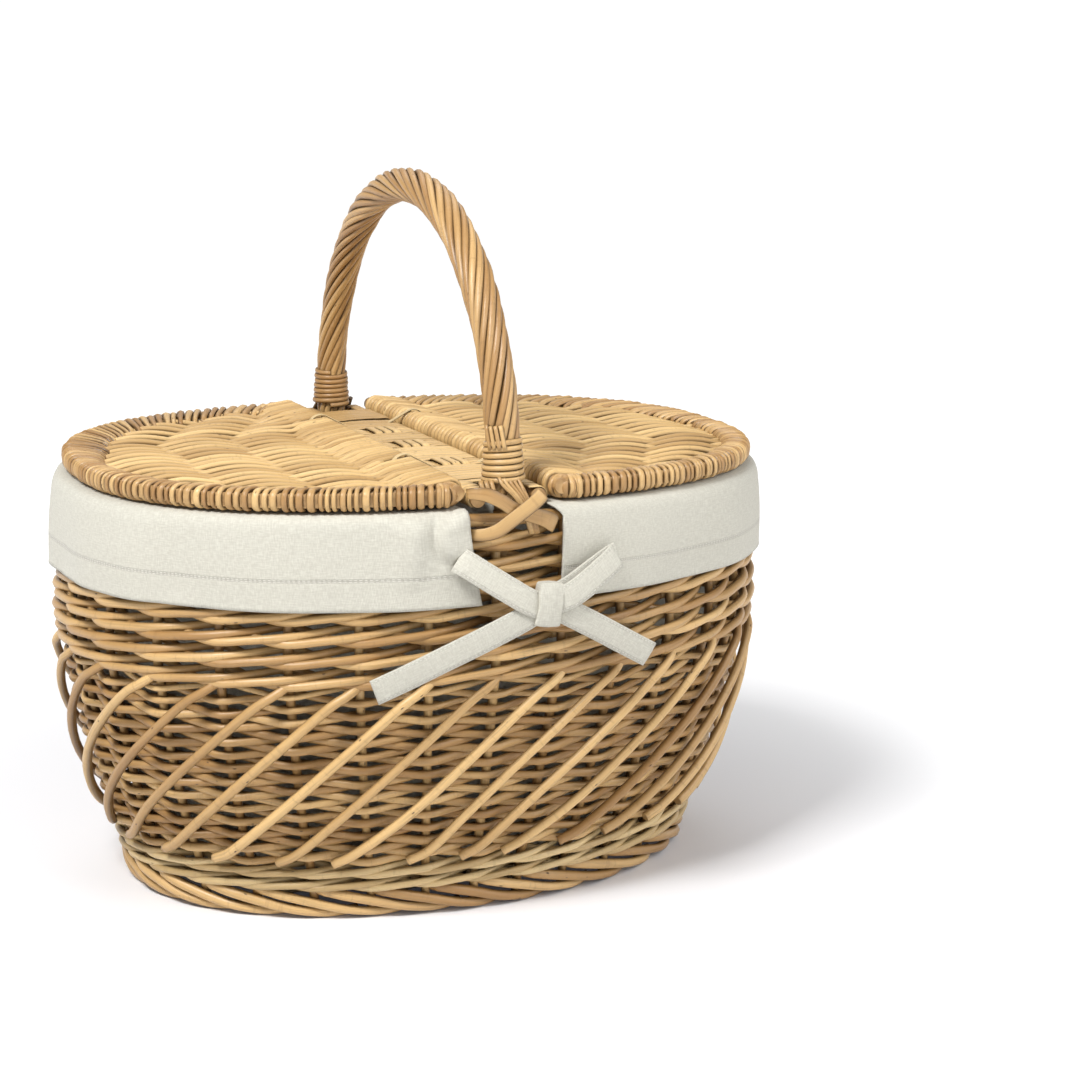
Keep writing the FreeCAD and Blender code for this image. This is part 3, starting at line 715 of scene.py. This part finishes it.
FAN_X, FAN_Y, FAN_Z, FAN_REACH = 39.5, 155.7, 269.2, 5.0     # turns that fan round a corner


def inside_lid(x, y):
    """Roughly how far inside a lid's outline a place lies, in millimetres."""
    share = (np.abs(x / LID_LENGTH) ** LID_SQUARENESS + np.abs(y / LID_WIDTH) ** LID_SQUARENESS)
    return (1 - share ** (1 / LID_SQUARENESS)) * 190


def weave_lid(side):
    """Rods of one lid. side is 1 for the right lid and -1 for the left, turned half round."""
    spin = np.array([side, side, 1])
    rods = Bundle()
    for row in range(-ROWS_EACH_SIDE, ROWS_EACH_SIDE + 1):
        y0 = row * ROD_STEP
        x = np.arange(WEAVE_X, 216, 3.1)
        tilt = -0.24 * np.clip((-40 - y0) / 90, 0, 1) - 0.05
        sway = 0.8 * np.sin(x * 0.031 + row * 0.9) + draws.uniform(-0.35, 0.35)
        y = y0 + (tilt * (x - WEAVE_X) + sway) * np.clip((x - WEAVE_X) / 30, 0, 1)
        room = inside_lid(x, y)
        keep = np.cumsum(room < 7.5) == 0
        keep[:4] = True
        x, y, room = x[keep], y[keep], room[keep]
        lean = BEND_SLOPE * np.clip(BEND_Y - y, 0, None)
        wave = np.cos(math.pi * ((x + lean - STICK_X) / STICK_STEP + row)) + draws.uniform(-0.06, 0.06)
        near_hoop = np.clip((26 - room) / 18, 0, 1)
        height = STICK_Z + 0.1 + 3.0 * wave * (1 - 0.55 * near_hoop) - 0.9 * near_hoop
        settle = np.clip((x - 45) / 20, 0, 1)
        settle = settle * settle * (3 - 2 * settle)
        z = ROLL_TOP * (1 - settle) + height * settle
        weave = np.stack([x, y, z], -1)
        up = np.tile([0.0, 0.0, 1.0], (len(x), 1))
        width = ROD_HALF_WIDTH + 0.2 * wave * settle
        around = np.radians(np.arange(285, 75, -21))
        radial = np.stack([np.cos(around), np.zeros(len(around)), np.sin(around)], -1)
        roll = np.array([HINGE_X, y0, HINGE_Z]) + ROLL_PATH_RADIUS * radial
        if abs(row) == TIE_ROW:
            rods.lay(roll * MM * spin, ROLL_ROD_HALF_WIDTH * MM, 1.9 * MM, up=radial * spin)
        else:
            weave = np.concatenate([[[47.0, y0, 264.0], [41.0, y0, 263.7]], roll, weave])
            up = np.concatenate([[[0, 0, -1.0], [0, 0, -1.0]], radial, up])
            width = np.concatenate([np.full(len(roll) + 2, ROLL_ROD_HALF_WIDTH), width])
        thick = draws.uniform(0.93, 1.05)
        rods.lay(weave * MM * spin, width * thick * MM, ROD_HALF_DEPTH * thick * MM, up=up * spin)
    return rods


def wrap_edge(side):
    """Turns of split rod round one lid's hoop; at the back they slant and reach over the weave.

    The last turns at each end fan round the hoop's corner.
    """
    spin = np.array([side, side, 1])
    turns = Bundle()
    edge_angles = np.linspace(-math.pi / 2, math.pi / 2, 2001)
    half_sizes = LID_LENGTH - HOOP_INSET, LID_WIDTH - HOOP_INSET
    middle = np.stack(oval(edge_angles, *half_sizes, LID_SQUARENESS), -1)
    lengths = lengths_along(middle)
    first = np.interp(HINGE_X + 5, middle[:1000, 0], lengths[:1000])
    last = lengths[-1] - first
    round_hoop = np.linspace(-math.pi, math.pi, 21)
    c, s = np.cos(round_hoop), np.sin(round_hoop)
    place = first
    while place < last:
        width = draws.choice([1.5, 1.9, 2.4], p=[0.35, 0.4, 0.25])
        behind = float(np.clip(side * np.interp(place, lengths, middle[:, 1]) / 70 + 0.15, 0, 1))
        width *= 1 + 0.3 * behind
        place += width + draws.choice([0.4, 0.8, 1.5], p=[0.35, 0.4, 0.25]) + 1.5 * behind
        reach = np.where(c > 0, 5.5, 9.5 + 11.5 * behind + draws.uniform(-2, 2) * behind)
        out = np.sign(c) * np.abs(c) ** 0.78 * reach
        rise = np.sign(s) * np.abs(s) ** 0.72 * 5.1
        over = np.clip(-out, 0, None) * (s > 0)
        slant = np.interp(np.degrees(round_hoop), [-180, -40, 30], [1, 0, 0.2])
        slant = np.where(s > -0.3, over * (0.5 + 0.35 * behind), slant)
        at = place + slant - 1.3 * c * (c > 0) + draws.uniform(-0.3, 0.3)
        at = np.clip(at, first - 1.0, last + 1.0)
        (px, py), (ax, ay), (bx, by) = (
            [np.interp(at + ahead, lengths, middle[:, k]) for k in (0, 1)] for ahead in (0.0, 1.0, -1.0)
        )
        qx, qy = ax - bx, ay - by
        size = np.hypot(qx, qy)
        nx, ny = qy / size, -qx / size
        swell = draws.uniform(-0.35, 0.3)
        z = STICK_Z + rise + swell * np.sign(rise)
        path = np.stack([px + nx * (out + swell * c), py + ny * (out + swell * c), z], -1)
        up = np.stack([nx * c, ny * c, s], -1)
        tint = draws.choice([0.05, 0.3, 0.55, 0.8, 1.0]) + draws.uniform(-0.05, 0.05)
        turns.lay(path * MM * spin, width * MM, WRAP_HALF_DEPTH, up=up * spin, tint=tint)
        place += width
    for end in (-1, 1):
        for turned in np.radians([172, 196, 220, 244, 268, 288]):
            away = np.array([math.cos(turned), end * -math.sin(turned), 0.0])
            ring = np.linspace(math.pi, 3 * math.pi, 21)
            path = (np.array([FAN_X, end * FAN_Y, FAN_Z]) + away * (FAN_REACH + 6.4 * np.cos(ring))[:, None]
                    + np.array([0, 0, 5.7]) * np.sin(ring)[:, None])
            up = away * np.cos(ring)[:, None] + np.array([0, 0, 1.0]) * np.sin(ring)[:, None]
            turns.lay(path * MM * spin, 2.2 * MM, 1.4 * MM, up=up * spin)
    return turns


def tie_to_bridge(side, y):
    """Two turns of pale skein round a bridge rod and a lid's roll, in one loop."""
    tie = Bundle()
    around = np.linspace(-math.pi, math.pi, 49)
    away = np.stack([np.cos(around), np.sin(around)], -1)
    rod, roll = np.array([SIDE_ROD_X, SIDE_ROD_Z]), np.array([HINGE_X, HINGE_Z])
    off_rod, off_roll = 6.3, 8.5
    on_roll = (away @ roll + off_roll > away @ rod + off_rod)[:, None]
    line = np.where(on_roll, roll + off_roll * away, rod + off_rod * away)
    spin = np.array([side, 1, 1])
    for turn in (-1.05, 1.05):
        path = np.stack([line[:, 0], np.full(49, y + turn), line[:, 1]], -1)
        up = np.stack([away[:, 0], np.zeros(49), away[:, 1]], -1)
        tie.lay(path * MM * spin, 1.15 * MM, 0.5 * MM, up=up * spin, section=SKEIN, tint=0.95)
    return tie


stick_willow, stick_shader = new_finish("stick_willow")
spot = Socket(Socket.node("ShaderNodeTexCoord").outputs["Object"])
grain = Socket(Socket.node("ShaderNodeTexNoise", None, Vector=spot, Scale=160.0, Detail=4.0).outputs[0])
blend(grain.between(0.3, 0.7), (0.30, 0.165, 0.06), (0.50, 0.31, 0.13)).into(stick_shader["Base Color"])
relief(grain, 0.3, 0.0008, stick_shader)
stick_shader["Roughness"].default_value = 0.5

for side, lid in ((-1, "left_lid"), (1, "right_lid")):
    weave = weave_lid(side).make(lid + "_woven_rods", lid_willow)
    wraps = wrap_edge(side).make(lid + "_edge_turns", wound_willow)
    for piece, nodes in ((weave, ("_weave", "_roll_wrap")), (wraps, ("_edge_wrap",))):
        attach(piece, lid)
        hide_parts(*[lid + node for node in nodes])

for side, name in ((-1, "left"), (1, "right")):
    for y, end in ((-TIE_Y, "front"), (TIE_Y, "rear")):
        tie = tie_to_bridge(side, y).make(name + "_skein_tie_" + end, cream_willow)
        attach(tie, "basket")
        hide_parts(name + "_hinge_loop_" + end)

# The straight and bowed rods that the weaving hides are the frame's own, in darker willow.
for name in ("base_sticks", "handle_core", "bridge_side_rods", "left_lid_hoop", "left_lid_hinge_rod",
             "left_lid_sticks", "right_lid_hoop", "right_lid_hinge_rod", "right_lid_sticks"):
    bare_rod = bpy.data.objects[name]
    bare_rod.data.materials.clear()
    bare_rod.data.materials.append(stick_willow)


# ------------------------------------------------------------------ cotton liner
# A bag of unbleached calico that stands inside the basket, sewn with a floor, its sides a
# little loose so that they fall in soft upright folds.
def calico(name, stitches):
    """Plain woven cotton. The run map is in metres; stitches are lines of it that are sewn."""
    material, shader = new_finish(name)
    along, across = run_map()
    thread, stitch_length = 0.00075, 0.0026
    warp = Socket.maths("SINE", along * (2 * math.pi / thread))
    weft = Socket.maths("SINE", across * (2 * math.pi / thread))
    slubs = pattern("ShaderNodeTexNoise", along * 240.0, across * 1300.0, 0.0, Detail=3.0)
    slubs_up = pattern("ShaderNodeTexNoise", along * 1300.0, across * 240.0, 3.0, Detail=3.0)
    cloudy = pattern("ShaderNodeTexNoise", along * 14.0, across * 14.0, 7.0, Detail=2.0)
    height = warp * 0.2 + weft * 0.2 + slubs * 0.9 + slubs_up * 0.9
    colour = blend((slubs + slubs_up - 0.62).between(0.1, 0.75), (0.45, 0.43, 0.365), (0.565, 0.55, 0.475))
    colour = blend(cloudy * 0.3, colour, (0.58, 0.565, 0.50))
    for line in stitches:
        seam = Socket.maths("ABSOLUTE", across - line)
        groove = 1.0 - seam.between(0.0002, 0.0011)
        thread_on = Socket.maths("SINE", along * (2 * math.pi / stitch_length)).between(-0.5, 0.2)
        stitch = (1.0 - seam.between(0.0001, 0.00045)) * thread_on
        height = height - groove * 2.2 + stitch * 2.6
        # Painted shade: the seam's groove is painted darker; the stitch thread beside it is paler cotton.
        colour = blend(groove * 0.45, colour, (0.36, 0.34, 0.29))
        colour = blend(stitch * 0.45, colour, (0.74, 0.72, 0.66))
    colour.into(shader["Base Color"])
    relief(height, 0.45, 0.0003, shader)
    shader["Roughness"].default_value = 0.88
    shader["Sheen Weight"].default_value = 0.15
    return material


def cloth(name, grid, along, across, material, thickness, closed=False):
    """A sheet of cloth through a grid of points, given its thickness by a modifier."""
    rows, columns = grid.shape[:2]
    faces, runs = [], []
    for i in range(rows - 1):
        for j in range(columns if closed else columns - 1):
            k = (j + 1) % columns
            corners = ((i, j), (i, k), (i + 1, k), (i + 1, j))
            faces.append([a * columns + b for a, b in corners])
            turn = [(a, columns if closed and b == 0 and j == columns - 1 else b) for a, b in corners]
            runs += [(along[b], across[a]) for a, b in turn]
    sheet = new_piece(name, grid.reshape(-1, 3), faces, runs, [True] * len(faces), material)
    bpy.ops.object.select_all(action="DESELECT")
    bpy.context.view_layer.objects.active = sheet
    sheet.select_set(True)
    thick = sheet.modifiers.new("thickness", "SOLIDIFY")
    thick.thickness = thickness
    thick.offset = 0
    bpy.ops.object.modifier_apply(modifier=thick.name)
    return sheet


bag_calico = calico("bag_calico", [])
BAG_FLOOR, BAG_TOP, BAG_COLUMNS = 21.4, 259.8, 180
BAG_ROUND = 1.13        # metres round the mouth
ring = np.linspace(0, 2 * math.pi, BAG_COLUMNS, endpoint=False)
profile = [(scale, BAG_FLOOR, -17.0) for scale in (0.004, 0.2, 0.4, 0.6, 0.8, 0.93, 1.0)]
profile += [(1.0, z, -15.6) for z in np.linspace(25, BAG_TOP, 34)]
bag_grid = []
for scale, z, out in profile:
    loose = 2.2 * min(1.0, max(0.0, (z - 22) / 50)) * min(1.0, max(0.15, (262 - z) / 60))
    folds = np.sin(ring * 11 + 0.6) + 0.7 * np.sin(ring * 17 + z * 0.012 + 2.0)
    folds = folds + 0.5 * np.sin(ring * 29 + 1.1)
    points = wall(ring, z * MM, (out + loose * (folds * 0.55)) * MM)
    points[:, :2] *= scale
    bag_grid.append(points)
bag_grid = np.array(bag_grid)
liner = cloth("liner_bag_cloth", bag_grid, np.linspace(0, BAG_ROUND, BAG_COLUMNS + 1),
              lengths_along(bag_grid[:, 0]), bag_calico, 1.0 * MM, closed=True)
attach(liner, "basket")
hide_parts("liner_bag")


# ------------------------------------------------------------------ cuffs of the liner
# The bag's top is cut into two cuffs that fold out over the rim and hang down the outside,
# each hemmed with one row of stitching and left open at the handle's feet.
CUFF_LENGTH, CUFF_WIDTH = 0.56, 0.08
CUFF_OUT, CUFF_HEM = 11.6, 205.8


def cuff(name, side, seed):
    """One folded cuff, from the rim's inside over the border and down to its hem.

    The left cuff's front end is gathered by the bow: a fold beside its corner, which turns up.
    """
    rng = np.random.default_rng(seed)
    profile = [(-14.6, 260.1), (-10, 260.3), (-5, 260.4), (0, 260.5), (4, 260.5), (7.4, 260.2), (9.8, 258.8),
               (11.0, 256.4), (11.5, 254.0)]
    profile += [(CUFF_OUT, z) for z in (*np.arange(252.0, 206.5, -2.0), CUFF_HEM)]
    share = np.concatenate([np.linspace(0, 0.12, 60), np.linspace(0.12, 1, 190)[1:]])
    waves = [(rng.uniform(9, 34), rng.uniform(0, 6.3), rng.uniform(0.15, 0.5)) for _ in range(7)]
    grid = []
    for out, z in profile:
        drop = np.clip((256 - z) / 50, 0, 1)
        if side < 0:
            front = np.interp(z, [205, 237, 256, 261], [-21.0, -26.5, -28.5, -28.5])
            back = -31.0
        else:
            front = np.interp(z, [205, 255, 259, 261], [30.5, 31.5, 27.0, 24.0])
            back = 24.5
        length = smooth_curve(z * MM, WALL_HEIGHTS, WALL_LENGTHS) / MM + out
        ends = [math.asin((abs(x) / length) ** (RIM_SQUARENESS / 2)) for x in (front, back)]
        angle = -math.pi / 2 + side * ends[0] + side * share * (math.pi - ends[0] - ends[1])
        ripple = sum(size * np.sin(rate * share * 2 + shift + z * 0.004) for rate, shift, size in waves)
        swell = 1.5 * math.sin(math.pi * min(1, drop * 1.05)) * (0.6 + 0.4 * np.sin(share * 9 + seed))
        push = np.maximum(ripple * (0.25 + 0.9 * drop) + swell, -0.9) * (out >= 9)
        points = wall(angle, z * MM, (out + push) * MM)
        points[:, 2] += drop * 0.6 * MM * np.sin(share * 14 + seed)
        if side < 0:
            x = points[:, 0] / MM
            front_part = points[:, 1] < 0
            away = np.hypot(np.minimum(x + 38, 0) / 9, (z - 246) / 13)
            from_fold = np.clip((away - 0.55) / 0.6, 0, 1)
            fold = 4.8 * (1 - from_fold**2 * (3 - 2 * from_fold)) * np.interp(x, [-41, -26], [1, 0.35])
            fold = fold - 1.1 * np.exp(-((away - 1.3) / 0.17) ** 2) * np.interp(x, [-44, -38], [1, 0])
            gather = 5.4 * np.interp(z, [216, 236, 250, 258, 260.4], [0, 0.7, 1, 0.6, 0.1])
            gather = gather * np.exp(-((x + 60.5) / 8.5) ** 2)
            corner = np.exp(-((x + 31) / 4.0) ** 2) * math.exp(-((z - 257.5) / 4.0) ** 2)
            points[:, 1] -= ((fold * (z < 259) + gather + 3.0 * corner * (out > 4)) * MM) * front_part
            points[:, 2] += 2.6 * MM * corner * front_part * (out > 4)
        grid.append(points)
    grid = np.array(grid)
    across = lengths_along(grid[:, len(share) // 3])
    return cloth(name, grid[:, ::-side], share * CUFF_LENGTH, across[-1] - across, cuff_calico, 1.1 * MM)


cuff_calico = calico("cuff_calico", [0.0175, 0.0185])
for side, half in ((-1, "left"), (1, "right")):
    hanging = cuff("cuff_cloth_" + half, side, 5 + side)
    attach(hanging, "basket")
    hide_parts("cuff_" + half)


# ------------------------------------------------------------------ bows
# Each pair of cuffs is tied at the handle's foot with stitched calico tape: a loop and a tail
# to each side of a flat knot, with the ends cut square.
TAPE_WIDTH, NARROW_TAPE_WIDTH = 15.6, 14.6
KNOT_X, KNOT_Y, KNOT_Z = 17.2, -183.6, 205.6


def tape(points, lean, width=TAPE_WIDTH):
    """One length of tape as a grid: points down its middle, and how far its face leans up."""
    line = through(points, 36)
    run = np.gradient(line, axis=0)
    run /= np.linalg.norm(run, axis=1, keepdims=True)
    face = np.array([0.0, -1.0, lean])
    side = np.cross(run, face)
    side /= np.linalg.norm(side, axis=1, keepdims=True)
    out = np.cross(side, run)
    v = np.linspace(-1, 1, 9)
    camber = 0.45 * (1 - v**2)
    grid = line[None] + side[None] * (v * width / 2)[:, None, None] + out[None] * camber[:, None, None]
    return grid, lengths_along(line) * MM, (v + 1) / 2 * width * MM


tape_calico = calico("tape_calico", [0.0016, 0.0140])
for half_turn, end in ((1, "front"), (-1, "rear")):
    spin = np.array([half_turn, half_turn, 1])
    strips = (
        tape([(14, -184.0, 204.5), (4, -185.8, 208.5), (-8, -184.6, 216), (-22, -181.6, 225.2),
              (-31.5, -178.4, 231.6), (-35.5, -174.6, 234)], 0.16),
        tape([(18, -184.2, 206), (30, -187.6, 210.8), (44, -186.2, 219), (56, -182.4, 226.0),
              (62.5, -179.2, 229.6)], 0.10),
        tape([(19, -180.5, 207.5), (32, -182.4, 214.2), (46, -181.4, 222.4), (58, -178.8, 228.4),
              (63.5, -177.6, 230.4)], 0.10, NARROW_TAPE_WIDTH),
        tape([(16, -183.0, 205), (2, -184.6, 198.5), (-20, -183.4, 188.8), (-45, -181.8, 178.6),
              (-70, -180.0, 168.4), (-88, -178.4, 161.4)], -0.04),
        tape([(20, -183.0, 205), (31, -184.8, 199), (48, -184.0, 189.5), (66, -181.8, 179.0),
              (86, -178.0, 167.5)], -0.08),
    )
    for number, (grid, length, width) in enumerate(strips):
        name = "bow_tape_%s_%d" % (end, number + 1)
        strip = cloth(name, grid * MM * spin, length, width, tape_calico, 1.1 * MM)
        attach(strip, "basket")

    bpy.ops.object.select_all(action="DESELECT")
    bpy.ops.mesh.primitive_cube_add(size=1)
    knot = bpy.context.object
    knot.name = "bow_knot_" + end
    bpy.ops.object.mode_set(mode="EDIT")
    bpy.ops.mesh.select_all(action="SELECT")
    bpy.ops.mesh.subdivide(number_cuts=7)
    bpy.ops.object.mode_set(mode="OBJECT")
    for vertex in knot.data.vertices:
        x, y, z = vertex.co * 2
        pinch = 1 - 0.10 * (1 - z * z) + 0.03 * math.sin(z * 5 + x)
        round_off = 1 - 0.28 * z * z - 0.10 * x * x
        crease = 0.5 * math.exp(-((x - 0.25 * z - 0.55) / 0.16) ** 2)
        crease += 0.35 * math.exp(-((x + 0.62) / 0.14) ** 2)
        vertex.co = Vector((
            (KNOT_X + 8.0 * x * pinch + 1.6 * z) * MM * half_turn,
            (KNOT_Y + (5.6 * y * round_off + (crease if y < 0 else 0))) * MM * half_turn,
            (KNOT_Z + 13.0 * z * (1 - 0.05 * x * x) - 0.8 * x) * MM,
        ))
    runs = knot.data.uv_layers.active
    runs.name = "run"
    for loop in knot.data.loops:
        place = knot.data.vertices[loop.vertex_index].co
        runs.data[loop.index].uv = (place.z, place.x * half_turn + 0.0014)
    smooth = knot.modifiers.new("round", "SUBSURF")
    smooth.levels = smooth.render_levels = 1
    bpy.ops.object.modifier_apply(modifier=smooth.name)
    bpy.ops.object.shade_smooth()
    knot.data.materials.append(bag_calico)
    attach(knot, "basket")
    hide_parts("bow_" + end)
